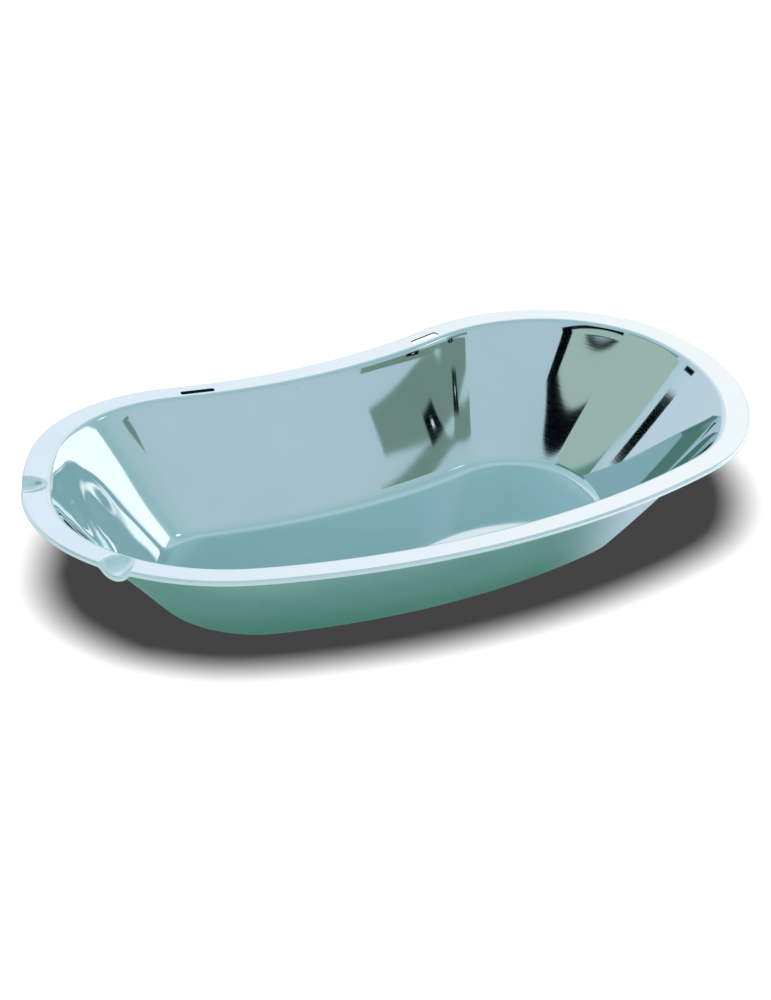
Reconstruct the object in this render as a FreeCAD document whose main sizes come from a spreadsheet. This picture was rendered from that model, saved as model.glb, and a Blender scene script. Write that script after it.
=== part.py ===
import FreeCAD, Part
import Sketcher
import math
import os
from FreeCAD import Placement, Rotation, Vector

# An open kidney-shaped bedpan pressed from one sheet of stainless steel.  A flat flange
# runs round the mouth and its edge is curled round a core wire.  The frame has +X towards
# the head end, +Y towards the hollow back side, +Z up, and stands on the floor's underside.

os.makedirs("parts", exist_ok=True)
doc = FreeCAD.newDocument("kidney_pan")

SIZES = [
    ("pan_length", 424.0),         # head end to tail end, where the corner arcs are placed from
    ("pan_width", 256.0),          # front side to back side
    ("pan_depth", 65.5),           # from the flange's top down to the floor's top
    ("sheet_thickness", 0.8),
    ("wall_skin", 1.0),            # the sloping wall measured level, which is more than the sheet
    ("flange_width", 15.0),        # outer edge of the rim to the mouth
    ("wall_inset", 57.5),          # outer edge of the rim to the floor's edge, seen from above
    ("head_rake", 21.5),           # the head wall leans this much further in
    ("tail_rake", 15.0),           # and the tail wall this much
    ("head_back_rise", 31.0),      # corner centres above the long axis
    ("head_front_rise", -21.0),
    ("tail_front_rise", 1.0),
    ("tail_back_rise", 37.0),
    ("head_back_gap", 2.0),        # corner arcs to the end of the pan
    ("head_front_gap", 17.0),
    ("tail_front_gap", 3.0),
    ("tail_back_gap", 21.0),
    ("front_bulge", 18.0),         # the long front arc stands this far out past its corners
    ("head_end_ease", 65.0),       # the end arcs are this much larger than their front corners
    ("tail_end_ease", 140.0),
    ("front_radius", 405.0),
    ("waist_radius", 288.0),
    ("mouth_fillet", 4.0),         # flange into wall, on the inside
    ("floor_fillet", 10.0),        # wall into floor, on the inside
    ("wire_diameter", 1.6),
    ("curl_drop", 0.02),           # the curl's top lies this much under the flange's top
    ("slot_length", 19.0),
    ("slot_width", 4.0),
    ("slot_inset", 9.5),           # outer edge of the rim to the slot's middle line
    ("head_slot_x", 80.0),
    ("tail_slot_x", -64.0),
    ("groove_radius", 10.5),
    ("groove_depth", 5.0),         # at the rim's edge, running out to nothing near the mouth
    ("groove_stop", 2.0),          # the groove runs out this far short of the mouth
    ("groove_offset", 55.0),       # from the long axis, one on each side
    ("groove_heading", 41.0),      # from the long axis
    ("groove_gap", 0.3),           # the curl dips this far under the groove
    ("frame_x", 0.0),              # moves the plan so that its middle is the origin
    ("frame_y", 0.0),
]

sheet = doc.addObject("Spreadsheet::Sheet", "sizes")
for row, (alias, value) in enumerate(SIZES, start=1):
    sheet.set(f"A{row}", alias)
    sheet.set(f"B{row}", str(value))
    sheet.setAlias(f"B{row}", alias)
doc.recompute()


def size(alias):
    """One driving dimension as a number, in millimetres or degrees."""
    return float(getattr(sheet, alias))


THICK = "sizes.sheet_thickness"
TOP = "(sizes.pan_depth + sizes.sheet_thickness)"
CURL = "(sizes.wire_diameter / 2 + sizes.sheet_thickness)"
HALF_LENGTH = "sizes.pan_length / 2"
HALF_WIDTH = "sizes.pan_width / 2"

# Each corner circle as expressions: centre x, centre y and radius.
RADIUS = {
    "head_back": f"({HALF_WIDTH} - sizes.head_back_rise)",
    "head_front": f"({HALF_WIDTH} + sizes.head_front_rise - sizes.front_bulge)",
    "tail_front": f"({HALF_WIDTH} + sizes.tail_front_rise - sizes.front_bulge)",
    "tail_back": f"({HALF_WIDTH} - sizes.tail_back_rise)",
}
CORNERS = {
    name: (
        f"(sizes.frame_x + {HALF_LENGTH} - {radius} - sizes.{name}_gap)" if name.startswith("head")
        else f"(sizes.frame_x - {HALF_LENGTH} + {radius} + sizes.{name}_gap)",
        f"(sizes.frame_y + sizes.{name}_rise)",
        radius,
    )
    for name, radius in RADIUS.items()
}
# The arcs that bridge the corners, counter-clockwise from the head's back corner.
BRIDGES = {
    "waist": "sizes.waist_radius",
    "tail_end": f"({RADIUS['tail_front']} + sizes.tail_end_ease)",
    "front": "sizes.front_radius",
    "head_end": f"({RADIUS['head_front']} + sizes.head_end_ease)",
}
LOOP = ["head_back", "waist", "tail_back", "tail_end", "tail_front", "front", "head_front", "head_end"]
HOLLOW = "waist"

# The sketcher's numbers for an arc's start, end and centre.
START, END, CENTRE = 1, 2, 3
LEVEL_SLACK = 0.01     # an edge this flat counts as level
SIDE_SLACK = 4.0       # the floor's edge may lie this much nearer to the rim at the sides
END_SLACK = 30.0       # and this much further in at the raked ends
KNUCKLE = 1.03         # a rod's balls are this much larger than the rod
RING_DEPTH = 3         # the ring that trims a groove's underside, in groove depths
SLOT_CUT = 4           # a slot's cutter, in sheet thicknesses


def number(expression):
    """Work out an expression on the sheet as a plain number."""
    words = sheet.evalExpression(expression)
    return float(getattr(words, "Value", words))


def circle_meeting(first, reach_first, second, reach_second):
    """Centre at the given distances from two centres, on the right of first to second."""
    across = second - first
    apart = across.Length
    along = (apart ** 2 + reach_first ** 2 - reach_second ** 2) / (2 * apart)
    aside = math.sqrt(reach_first ** 2 - along ** 2)
    normal = Vector(-across.y, across.x, 0) / apart
    return first + across * (along / apart) - normal * aside


class Outline:
    """The pan's plan at one inset: eight tangent arcs, each a centre, radius and two angles."""

    def __init__(self, inset, head_shift, tail_shift):
        self.centre = {}
        self.radius = {}
        for name, (x, y, radius) in CORNERS.items():
            shift = -head_shift if name.startswith("head") else tail_shift
            self.centre[name] = Vector(number(x) + shift, number(y), 0)
            self.radius[name] = number(radius) - inset
        for index, name in enumerate(LOOP):
            if name in BRIDGES:
                before = LOOP[index - 1]
                after = LOOP[(index + 1) % len(LOOP)]
                self.bridge(name, before, after, inset)

    def bridge(self, name, before, after, inset):
        """Add the arc that is tangent to two corners."""
        if name == HOLLOW:
            radius = number(BRIDGES[name]) + inset
            reach = [radius + self.radius[before], radius + self.radius[after]]
            ends = [before, after]
        else:
            radius = number(BRIDGES[name]) - inset
            reach = [radius - self.radius[after], radius - self.radius[before]]
            ends = [after, before]
        first, second = (self.centre[end] for end in ends)
        self.centre[name] = circle_meeting(first, reach[0], second, reach[1])
        self.radius[name] = radius

    def touch(self, one, other):
        """The point where a corner and a bridge meet."""
        corner, bridge = (one, other) if one in CORNERS else (other, one)
        away = self.centre[corner] - self.centre[bridge]
        if bridge == HOLLOW:
            away = -away
        away.normalize()
        return self.centre[corner] + away * self.radius[corner]

    def arc(self, name):
        """One arc's centre, radius, first angle and last angle, counter-clockwise."""
        index = LOOP.index(name)
        start = self.touch(LOOP[index - 1], name)
        end = self.touch(name, LOOP[(index + 1) % len(LOOP)])
        centre = self.centre[name]
        first = math.atan2(start.y - centre.y, start.x - centre.x)
        last = math.atan2(end.y - centre.y, end.x - centre.x)
        if name == HOLLOW:
            first, last = last, first
        if last < first:
            last += 2 * math.pi
        return centre, self.radius[name], first, last

    def wire(self, height):
        """The closed outline as one wire at a height."""
        edges = []
        for name in LOOP:
            centre, radius, first, last = self.arc(name)
            circle = Part.Circle(Vector(centre.x, centre.y, height), Vector(0, 0, 1), radius)
            edges.append(Part.Edge(circle, first, last))
        return Part.Wire(Part.sortEdges(edges)[0])

    def sketch(self, body, name, height, inset, head_shift, tail_shift):
        """The same outline as a sketch whose sizes follow the sheet."""
        drawn = body.newObject("Sketcher::SketchObject", name)
        plane = [part for part in body.Origin.OriginFeatures if part.Role == "XY_Plane"][0]
        drawn.AttachmentSupport = (plane, [""])
        drawn.MapMode = "FlatFace"
        drawn.setExpression("AttachmentOffset.Base.z", height)
        for step in LOOP:
            centre, radius, first, last = self.arc(step)
            circle = Part.Circle(centre, Vector(0, 0, 1), radius)
            drawn.addGeometry(Part.ArcOfCircle(circle, first, last), False)
        for index, step in enumerate(LOOP):
            after = (index + 1) % len(LOOP)
            leave = START if step == HOLLOW else END
            enter = END if LOOP[after] == HOLLOW else START
            drawn.addConstraint(Sketcher.Constraint("Tangent", index, leave, after, enter))
        for index, step in enumerate(LOOP):
            if step in CORNERS:
                x, y, radius = CORNERS[step]
                shift = f"- {head_shift}" if step.startswith("head") else f"+ {tail_shift}"
                centre = self.centre[step]
                for kind, value, rule in (("DistanceX", centre.x, f"{x} {shift}"),
                                          ("DistanceY", centre.y, y)):
                    place = drawn.addConstraint(Sketcher.Constraint(kind, -1, 1, index, CENTRE, value))
                    drawn.setExpression(f"Constraints[{place}]", rule)
                rule = f"{radius} - {inset}"
            else:
                sign = "+" if step == HOLLOW else "-"
                rule = f"{BRIDGES[step]} {sign} {inset}"
            place = drawn.addConstraint(Sketcher.Constraint("Radius", index, self.radius[step]))
            drawn.setExpression(f"Constraints[{place}]", rule)
        return drawn


def plan_sketch(body, name, height, inset, head_shift="0", tail_shift="0"):
    """A sketch of the pan's plan from expressions for its height, inset and end shifts."""
    outline = Outline(number(inset), number(head_shift), number(tail_shift))
    return outline.sketch(body, name, height, inset, head_shift, tail_shift)


def level_edges(shape, height, least_inset, most_inset):
    """Names of the edges that lie at one height, between two insets of the rim's outline."""
    rim = Outline(0, 0, 0).wire(height)
    found = []
    for index, edge in enumerate(shape.Edges, start=1):
        box = edge.BoundBox
        if abs(box.ZMin - height) > LEVEL_SLACK or abs(box.ZMax - height) > LEVEL_SLACK:
            continue
        middle = edge.valueAt((edge.FirstParameter + edge.LastParameter) / 2)
        inset = rim.distToShape(Part.Vertex(middle))[0]
        if least_inset < inset < most_inset:
            found.append(f"Edge{index}")
    return found


def centre_the_frame():
    """Move the plan so that the middle of its box is the frame's origin."""
    box = Outline(0, 0, 0).wire(0).BoundBox
    cells = {alias: f"B{row}" for row, (alias, value) in enumerate(SIZES, start=1)}
    sheet.set(cells["frame_x"], str(-box.Center.x))
    sheet.set(cells["frame_y"], str(-box.Center.y))
    doc.recompute()


def rim_crossing(inset, axis, value, side):
    """Where the outline at an inset crosses x or y = value, on the +1 or -1 side."""
    outline = Outline(inset, 0, 0)
    found = []
    for name in LOOP:
        centre, radius, first, last = outline.arc(name)
        offset = value - (centre.x if axis == "x" else centre.y)
        if abs(offset) > radius:
            continue
        turn = math.acos(offset / radius) if axis == "x" else math.asin(offset / radius)
        turns = [turn, -turn] if axis == "x" else [turn, math.pi - turn]
        for angle in turns:
            if (angle - first) % (2 * math.pi) <= last - first:
                out = Vector(math.cos(angle), math.sin(angle), 0)
                tangent = Vector(-out.y, out.x, 0)
                found.append((centre + out * radius, tangent))
    return max(found, key=lambda pair: side * (pair[0].y if axis == "x" else pair[0].x))


centre_the_frame()

# The pressing: the bowl and the flat flange.
pressing = doc.addObject("PartDesign::Body", "pressing")
FLANGE_UNDER = f"({TOP} - {THICK})"
FLANGE_MIDDLE = f"({TOP} - {THICK} / 2)"
HEAD_RAKE = "sizes.head_rake"
TAIL_RAKE = "sizes.tail_rake"
OUTER_MOUTH = "(sizes.flange_width - sizes.wall_skin)"
OUTER_FLOOR = "(sizes.wall_inset - sizes.wall_skin)"

flange_plan = plan_sketch(pressing, "flange_plan", FLANGE_UNDER, CURL)
flange = pressing.newObject("PartDesign::Pad", "flange")
flange.Profile = flange_plan
flange.setExpression("Length", THICK)

outer_mouth = plan_sketch(pressing, "outer_mouth", FLANGE_MIDDLE, OUTER_MOUTH)
outer_floor = plan_sketch(pressing, "outer_floor", "0", OUTER_FLOOR, HEAD_RAKE, TAIL_RAKE)
doc.recompute()
outer_bowl = pressing.newObject("PartDesign::AdditiveLoft", "outer_bowl")
outer_bowl.Profile = outer_mouth
outer_bowl.Sections = [outer_floor]
outer_bowl.Ruled = True
doc.recompute()

inner_mouth = plan_sketch(pressing, "inner_mouth", TOP, "sizes.flange_width")
inner_floor = plan_sketch(pressing, "inner_floor", THICK, "sizes.wall_inset", HEAD_RAKE, TAIL_RAKE)
doc.recompute()
inner_bowl = pressing.newObject("PartDesign::SubtractiveLoft", "inner_bowl")
inner_bowl.Profile = inner_mouth
inner_bowl.Sections = [inner_floor]
inner_bowl.Ruled = True
doc.recompute()


def round_edges(name, base, height, inset, radius):
    """Fillet the ring of edges at one height, from an inset inwards."""
    edges = level_edges(base.Shape, number(height), number(inset) - SIDE_SLACK, number(inset) + END_SLACK)
    rounded = pressing.newObject("PartDesign::Fillet", name)
    rounded.Base = (base, edges)
    rounded.setExpression("Radius", radius)
    doc.recompute()
    return rounded


floor_outside = round_edges("floor_outside", inner_bowl, "0", OUTER_FLOOR, f"sizes.floor_fillet + {THICK}")
floor_inside = round_edges("floor_inside", floor_outside, THICK, "sizes.wall_inset", "sizes.floor_fillet")
mouth_inside = round_edges("mouth_inside", floor_inside, TOP, "sizes.flange_width", "sizes.mouth_fillet")
mouth_outside = round_edges(
    "mouth_outside", mouth_inside, FLANGE_UNDER, OUTER_MOUTH, f"sizes.mouth_fillet - {THICK}"
)


class Groove:
    """One pressed pouring groove: a leaning cylinder that runs out before the mouth."""

    def __init__(self, side):
        self.name = "back" if side > 0 else "front"
        self.foot, _ = rim_crossing(0, "y", side * size("groove_offset"), -1)
        heading = math.radians(size("groove_heading"))
        self.inward = Vector(math.cos(heading), -side * math.sin(heading), 0)
        self.run = size("flange_width") - size("groove_stop")
        self.lean = math.atan2(size("groove_depth"), self.run)
        self.axis = self.inward * math.cos(self.lean) + Vector(0, 0, math.sin(self.lean))
        self.lift = self.inward * -math.sin(self.lean) + Vector(0, 0, math.cos(self.lean))

    def cylinder(self, name, extra):
        """The groove's cylinder, or one grown by an expression for the sheet's outside."""
        reach = 2 * self.run
        bottom = self.foot + Vector(0, 0, number(TOP) - size("groove_depth"))
        base = bottom + self.lift * size("groove_radius") - self.axis * reach
        made = doc.addObject("Part::Cylinder", f"{self.name}_{name}")
        made.setExpression("Radius", f"sizes.groove_radius + {extra}")
        made.Height = 2 * reach
        made.Placement = Placement(base, Rotation(Vector(0, 0, 1), self.axis))
        return made

    def dip(self):
        """Half the width and the depth of the curl's dip below its level path."""
        radius = size("groove_radius") + number(CURL) + size("groove_gap")
        level = size("groove_radius") - size("groove_depth") + number(CURL) + size("curl_drop")
        return math.sqrt(radius ** 2 - level ** 2), radius - level


def curl_runs(grooves):
    """The core wire's line: the rim's outline in level runs, then a dip under each groove."""
    height = number(TOP) - number(CURL) - size("curl_drop")
    level = Outline(number(CURL), 0, 0).wire(height)
    for groove in grooves:
        half = groove.dip()[0]
        gate = Part.makeBox(4 * groove.run, 2 * half, 4 * groove.run)
        gate.translate(Vector(-2 * groove.run, -half, -2 * groove.run))
        turn = Rotation(Vector(1, 0, 0), groove.inward)
        gate.Placement = Placement(groove.foot + Vector(0, 0, height), turn) * gate.Placement
        level = level.cut(gate)
    runs = [Part.Wire(group) for group in Part.sortEdges(level.Edges)]
    ends = [vertex.Point for run in runs for vertex in (run.OrderedVertexes[0], run.OrderedVertexes[-1])]
    for groove in grooves:
        depth = groove.dip()[1]
        points = sorted(ends, key=lambda point: (point - groove.foot).Length)[:2]
        lowest = (points[0] + points[1]) / 2 - Vector(0, 0, depth)
        runs.append(Part.Wire([Part.Arc(points[0], lowest, points[1]).toShape()]))
    return runs, ends


def rod(name, radius, paths, knuckles):
    """A round rod swept along each run of the rim's line, with a ball where two runs meet."""
    pieces = []
    for index, path in enumerate(paths):
        first = path.Shape.OrderedEdges[0]
        section = doc.addObject("Part::Circle", f"{name}_section_{index}")
        section.setExpression("Radius", radius)
        start = first.valueAt(first.FirstParameter)
        along = first.tangentAt(first.FirstParameter)
        section.Placement = Placement(start, Rotation(Vector(0, 0, 1), along))
        sweep = doc.addObject("Part::Sweep", f"{name}_run_{index}")
        sweep.Sections = [section]
        sweep.Spine = (path, [f"Edge{number}" for number in range(1, len(path.Shape.Edges) + 1)])
        sweep.Solid = True
        pieces.append(sweep)
    for index, point in enumerate(knuckles):
        ball = doc.addObject("Part::Sphere", f"{name}_knuckle_{index}")
        ball.setExpression("Radius", f"{radius} * {KNUCKLE}")
        ball.Placement.Base = point
        pieces.append(ball)
    made = doc.addObject("Part::MultiFuse", name)
    made.Shapes = pieces
    return made


grooves = [Groove(1), Groove(-1)]
runs, knuckles = curl_runs(grooves)
paths = []
for index, run in enumerate(runs):
    path = doc.addObject("Part::Feature", f"rim_line_{index}")
    path.Shape = run
    paths.append(path)
curl = rod("curl", CURL, paths, knuckles)
rim_wire = rod("rim_wire", "sizes.wire_diameter / 2", paths, knuckles)

# Each groove's underside is the same cylinder grown by the sheet, kept to the flange's ring.
flange_ring = doc.addObject("Part::Feature", "flange_ring")
ring_low = number(TOP) - RING_DEPTH * size("groove_depth")
ring_high = number(FLANGE_MIDDLE)
ring_outside = Part.Face(Outline(number(CURL), 0, 0).wire(ring_low))
ring_inside = Part.Face(Outline(size("flange_width") - size("groove_stop"), 0, 0).wire(ring_low))
flange_ring.Shape = ring_outside.cut(ring_inside).extrude(Vector(0, 0, ring_high - ring_low))

undersides = []
for groove in grooves:
    underside = doc.addObject("Part::Common", f"{groove.name}_underside")
    underside.Base = groove.cylinder("underside_bar", THICK)
    underside.Tool = flange_ring
    undersides.append(underside)
valleys = [groove.cylinder("valley", "0") for groove in grooves]

slots = []
for name in ("head", "tail"):
    middle, tangent = rim_crossing(size("slot_inset"), "x", size(f"{name}_slot_x"), 1)
    slot = doc.addObject("Part::Box", f"{name}_slot")
    slot.setExpression("Length", "sizes.slot_length")
    slot.setExpression("Width", "sizes.slot_width")
    slot.setExpression("Height", f"{SLOT_CUT} * {THICK}")
    turn = Rotation(Vector(1, 0, 0), tangent)
    cut_height = SLOT_CUT * size("sheet_thickness")
    corner = Vector(-size("slot_length") / 2, -size("slot_width") / 2, -cut_height / 2)
    slot.Placement = Placement(middle + turn.multVec(corner) + Vector(0, 0, number(FLANGE_MIDDLE)), turn)
    slots.append(slot)

sheet_metal = doc.addObject("Part::MultiFuse", "sheet_metal")
sheet_metal.Shapes = [pressing, curl] + undersides
openings = doc.addObject("Part::MultiFuse", "openings")
openings.Shapes = valleys + slots + [rim_wire]
pan_shell = doc.addObject("Part::Cut", "pan_shell")
pan_shell.Base = sheet_metal
pan_shell.Tool = openings
doc.recompute()

NODES = [pan_shell, rim_wire]

for made in doc.Objects:
    if "Invalid" in made.State or "Error" in made.State:
        raise RuntimeError(f"{made.Name} did not rebuild: {made.State}")
for node in NODES:
    node.Label = node.Name
    if node.Shape.isNull() or not node.Shape.isValid():
        raise RuntimeError(f"{node.Name} has no valid shape")
    if len(node.Shape.Solids) != 1:
        raise RuntimeError(f"{node.Name} is in {len(node.Shape.Solids)} pieces")
    node.Shape.exportStep(f"parts/{node.Label}.step")
    print(node.Label, "volume", round(node.Shape.Volume, 1), "mm3")
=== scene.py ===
import logging
import math
from dataclasses import dataclass
from enum import Enum

import bpy
import numpy as np
from mathutils import Matrix, Vector


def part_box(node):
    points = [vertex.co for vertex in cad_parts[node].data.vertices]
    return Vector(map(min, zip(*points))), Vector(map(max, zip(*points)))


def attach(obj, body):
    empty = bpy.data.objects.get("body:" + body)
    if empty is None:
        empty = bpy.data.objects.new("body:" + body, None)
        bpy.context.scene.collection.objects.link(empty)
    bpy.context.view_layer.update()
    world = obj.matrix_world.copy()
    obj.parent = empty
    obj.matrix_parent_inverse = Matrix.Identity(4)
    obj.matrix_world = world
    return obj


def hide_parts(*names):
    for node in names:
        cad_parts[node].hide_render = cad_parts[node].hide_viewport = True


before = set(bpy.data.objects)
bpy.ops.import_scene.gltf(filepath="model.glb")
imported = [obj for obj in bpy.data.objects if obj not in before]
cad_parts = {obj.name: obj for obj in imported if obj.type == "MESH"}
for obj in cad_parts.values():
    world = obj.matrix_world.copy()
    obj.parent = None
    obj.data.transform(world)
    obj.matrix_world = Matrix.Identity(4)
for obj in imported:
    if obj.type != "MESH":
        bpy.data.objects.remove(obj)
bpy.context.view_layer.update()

# An open kidney-shaped bedpan pressed from one stainless steel sheet.  Its flat flange ends in
# an edge curled round a core wire.  Sizes are in millimetres, and meshes are in metres.
MM = 0.001
BODY = "root"
SHELL_NODE = "pan_shell"
WIRE_NODE = "rim_wire"
STRIP_MAP = "strip"          # the UV map: metres round the pan, and metres across its section
LOG = logging.getLogger("bedpan")


def linear(code: str) -> tuple[float, float, float, float]:
    """Turn an sRGB hex colour into linear light.

    Args:
        code: a colour such as "#C0D0D8".

    Returns:
        Red, green, blue and an alpha of one.
    """
    shares = [int(code[place:place + 2], 16) / 255 for place in (1, 3, 5)]
    lit = [share / 12.92 if share <= 0.04045 else ((share + 0.055) / 1.055) ** 2.4 for share in shares]
    return lit[0], lit[1], lit[2], 1.0


def add_node(tree: bpy.types.NodeTree, kind: str, settings: dict | None = None,
             inputs: dict | None = None) -> bpy.types.Node:
    """Add one node with its settings, values and links.

    Args:
        tree: the tree that gets the node.
        kind: the node's type name.
        settings: property names and their values.
        inputs: socket names or places, each with a value or the output that feeds it.

    Returns:
        The new node.
    """
    node = tree.nodes.new(kind)
    for name, value in (settings or {}).items():
        setattr(node, name, value)
    for key, value in (inputs or {}).items():
        if isinstance(value, bpy.types.NodeSocket):
            tree.links.new(value, node.inputs[key])
        else:
            node.inputs[key].default_value = value
    return node


def smooth_step(value: np.ndarray, low: float, high: float) -> np.ndarray:
    """Rise smoothly from 0 at low to 1 at high."""
    share = np.clip((value - low) / (high - low), 0, 1)
    return share * share * (3 - 2 * share)


def soft_floor(value: np.ndarray, ease: float) -> np.ndarray:
    """Keep positive values and turn negative ones to nought, with a round knee of size ease."""
    knee = (value + ease) ** 2 / (4 * ease)
    return np.where(value < -ease, 0.0, np.where(value > ease, value, knee))


class Place(Enum):
    """The stretches of the pan's section, from the middle of the floor round to below it."""

    INSIDE = 0
    FLANGE = 1
    CURL = 2
    OUTSIDE = 3


@dataclass(frozen=True)
class Corner:
    """One corner arc of the plan."""

    head: bool
    back: bool
    rise: float
    gap: float


@dataclass(frozen=True)
class KidneyPlan:
    """The plan seen from above: four corner arcs bridged by four longer arcs, all tangent."""

    length: float = 424.0
    width: float = 256.0
    front_bulge: float = 18.0
    waist_radius: float = 288.0
    front_radius: float = 405.0
    head_end_ease: float = 65.0
    tail_end_ease: float = 140.0
    corners: tuple[Corner, ...] = (
        Corner(head=True, back=True, rise=31.0, gap=2.0),
        Corner(head=False, back=True, rise=37.0, gap=21.0),
        Corner(head=False, back=False, rise=1.0, gap=3.0),
        Corner(head=True, back=False, rise=-21.0, gap=17.0),
    )
    samples: int = 768
    fairing: float = 9.0         # the press draws the joints between arcs out over this much

    def circles(self, inset: float = 0.0, head_shift: float = 0.0,
                tail_shift: float = 0.0) -> list[tuple[complex, float]]:
        """Work out the eight circles, counter-clockwise from the head's back corner.

        Args:
            inset: how far inside the rim the outline lies.
            head_shift: how much further in the head's corners lie.
            tail_shift: how much further in the tail's corners lie.

        Returns:
            Centre and radius of each circle, with the hollow waist's radius below nought.
        """
        found = []
        for corner in self.corners:
            radius = self.width / 2 + (-corner.rise if corner.back else corner.rise - self.front_bulge)
            reach = self.length / 2 - radius - corner.gap
            along = reach - head_shift if corner.head else tail_shift - reach
            found.append((complex(along, corner.rise), radius - inset))
        tail_front, head_front = found[2][1], found[3][1]
        bridges = (
            -self.waist_radius - inset,
            tail_front + self.tail_end_ease,
            self.front_radius - inset,
            head_front + self.head_end_ease,
        )
        loop = []
        for index, radius in enumerate(bridges):
            (one, first), (other, second) = found[index], found[(index + 1) % len(found)]
            apart = other - one
            to_one, to_other = abs(radius - first), abs(radius - second)
            along = (abs(apart) ** 2 + to_one ** 2 - to_other ** 2) / (2 * abs(apart))
            aside = math.sqrt(to_one ** 2 - along ** 2)
            turn = -1j if radius < 0 else 1j
            centre = one + apart / abs(apart) * (along + turn * aside)
            loop += [found[index], (centre, radius)]
        return loop

    @staticmethod
    def spans(circles: list[tuple[complex, float]]) -> list[tuple[float, float]]:
        """Work out how far each arc runs.

        Args:
            circles: centre and radius of each circle, in order round the pan.

        Returns:
            Each arc's first angle, and the signed angle that it turns through.
        """
        touches = []
        for index, (centre, radius) in enumerate(circles):
            after, reach = circles[(index + 1) % len(circles)]
            away = centre - after if reach > radius > 0 else after - centre
            touches.append(centre + away / abs(away) * abs(radius))
        spans = []
        for index, (centre, radius) in enumerate(circles):
            first = math.atan2((touches[index - 1] - centre).imag, (touches[index - 1] - centre).real)
            last = math.atan2((touches[index] - centre).imag, (touches[index] - centre).real)
            turn = (last - first) % math.tau
            spans.append((first, turn - math.tau if radius < 0 else turn))
        return spans

    def stations(self) -> tuple[np.ndarray, np.ndarray, float]:
        """Space the samples evenly round the rim.

        Returns:
            Each sample's arc number, its share of that arc, and the rim's length.
        """
        rim = self.circles()
        lengths = [abs(radius * turn) for (_, radius), (_, turn) in zip(rim, self.spans(rim))]
        ends = np.cumsum(lengths)
        along = np.arange(self.samples) / self.samples * ends[-1]
        arc = np.searchsorted(ends, along, side="right")
        share = (along - (ends - lengths)[arc]) / np.array(lengths)[arc]
        return arc, share, float(ends[-1])

    def outline(self, inset: float = 0.0, head_shift: float = 0.0, tail_shift: float = 0.0) -> np.ndarray:
        """Sample one outline, with the joints between its arcs faired.

        Args:
            inset: how far inside the rim the outline lies.
            head_shift: how much further in the head's corners lie.
            tail_shift: how much further in the tail's corners lie.

        Returns:
            One complex number for each sample, x + y i.
        """
        circles = self.circles(inset, head_shift, tail_shift)
        first, turn = np.array(self.spans(circles)).T
        arc, share, length = self.stations()
        centre = np.array([circle[0] for circle in circles])[arc]
        radius = np.abs([circle[1] for circle in circles])[arc]
        points = centre + radius * np.exp(1j * (first[arc] + turn[arc] * share))
        waves = np.fft.fftfreq(self.samples, length / self.samples) * math.tau
        pass_once = np.exp(-0.5 * (waves * self.fairing) ** 2)
        return np.fft.ifft(np.fft.fft(points) * (2 * pass_once - pass_once ** 2))


@dataclass(frozen=True)
class Groove:
    """One pouring groove pressed into the flange, which runs out before the mouth."""

    side: int                    # 1 at the back of the tail, -1 at its front
    radius: float = 10.5
    depth: float = 5.0
    offset: float = 55.0
    heading: float = 41.0
    run: float = 14.5
    scoop: float = 2.2           # over one, the floor stays low and then comes up like a spoon's
    shoulder: float = 0.9
    reach: float = 43.5          # further than this from its foot, the sheet is left alone

    def drop(self, points: np.ndarray, rim: np.ndarray) -> np.ndarray:
        """How far the sheet sinks.

        Args:
            points: places in plan, as complex numbers.
            rim: the rim's outline.

        Returns:
            The depth at each place.
        """
        tail = np.where(rim.real < 0, np.abs(rim.imag - self.side * self.offset), np.inf)
        foot = rim[np.argmin(tail)]
        inward = np.exp(-1j * self.side * math.radians(self.heading))
        local = (points - foot) * np.conj(inward)
        floor = self.depth * (1 - (np.maximum(local.real, 0.0) / self.run) ** self.scoop)
        across = np.minimum(np.abs(local.imag), self.radius)
        sunk = np.sqrt(self.radius ** 2 - across ** 2) - (self.radius - floor)
        near = np.abs(points - foot) < self.reach
        return np.where(near, soft_floor(sunk, self.shoulder), 0.0)


@dataclass(frozen=True)
class Slot:
    """One slot punched through the back flange."""

    name: str
    x: float
    length: float = 19.0
    width: float = 4.0
    inset: float = 9.5
    corner: float = 1.2
    corner_steps: int = 8
    lip: float = 0.0             # the punched edge is turned down this far under the flange


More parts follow.
